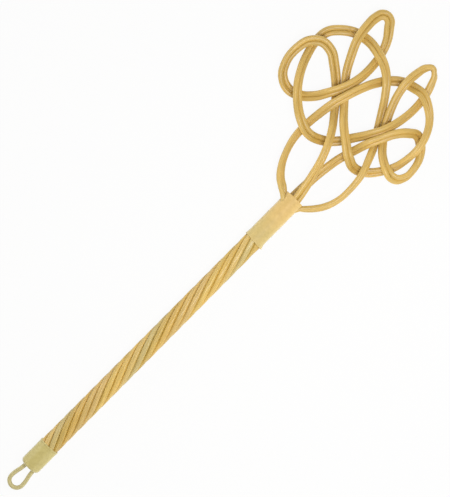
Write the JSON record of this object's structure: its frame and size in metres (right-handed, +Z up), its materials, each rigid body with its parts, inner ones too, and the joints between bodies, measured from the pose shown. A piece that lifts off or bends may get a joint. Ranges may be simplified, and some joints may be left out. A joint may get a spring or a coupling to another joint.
{
  "type": "carpet beater",
  "caption": "Carpet beater of plastic cane: a flat openwork knot of paired canes on a long ropelike twisted handle, with a neck sleeve, an end cap and a hanging loop.",
  "frame": {"origin": "under the middle of the whole beater, on the surface it lies on", "axes": "+Y along the handle towards the knot, +X across the knot, +Z up through the flat of the knot"},
  "size_m": [0.2052, 0.7002, 0.0258],
  "materials": {
    "cane": "satin ochre plastic, drawn with fine grain along the cane",
    "steel_wire": "plain drawn wire",
    "core_wood": "plain turned rod, hidden",
    "sleeve_plastic": "matte pale ochre shrunk plastic",
    "cap_plastic": "satin greenish yellow moulded plastic",
    "loop_plastic": "smooth greenish yellow plastic over wire"
  },
  "bodies": {
    "root": {"cane_1": "cane", "cane_2": "cane", "cane_3": "cane", "cane_4": "cane", "cane_wire_1": "steel_wire", "cane_wire_2": "steel_wire", "cane_wire_3": "steel_wire", "cane_wire_4": "steel_wire", "handle_core": "core_wood", "neck_sleeve": "sleeve_plastic", "end_cap": "cap_plastic", "hanging_loop": "loop_plastic", "loop_wire": "steel_wire"}
  },
  "joints": []
}
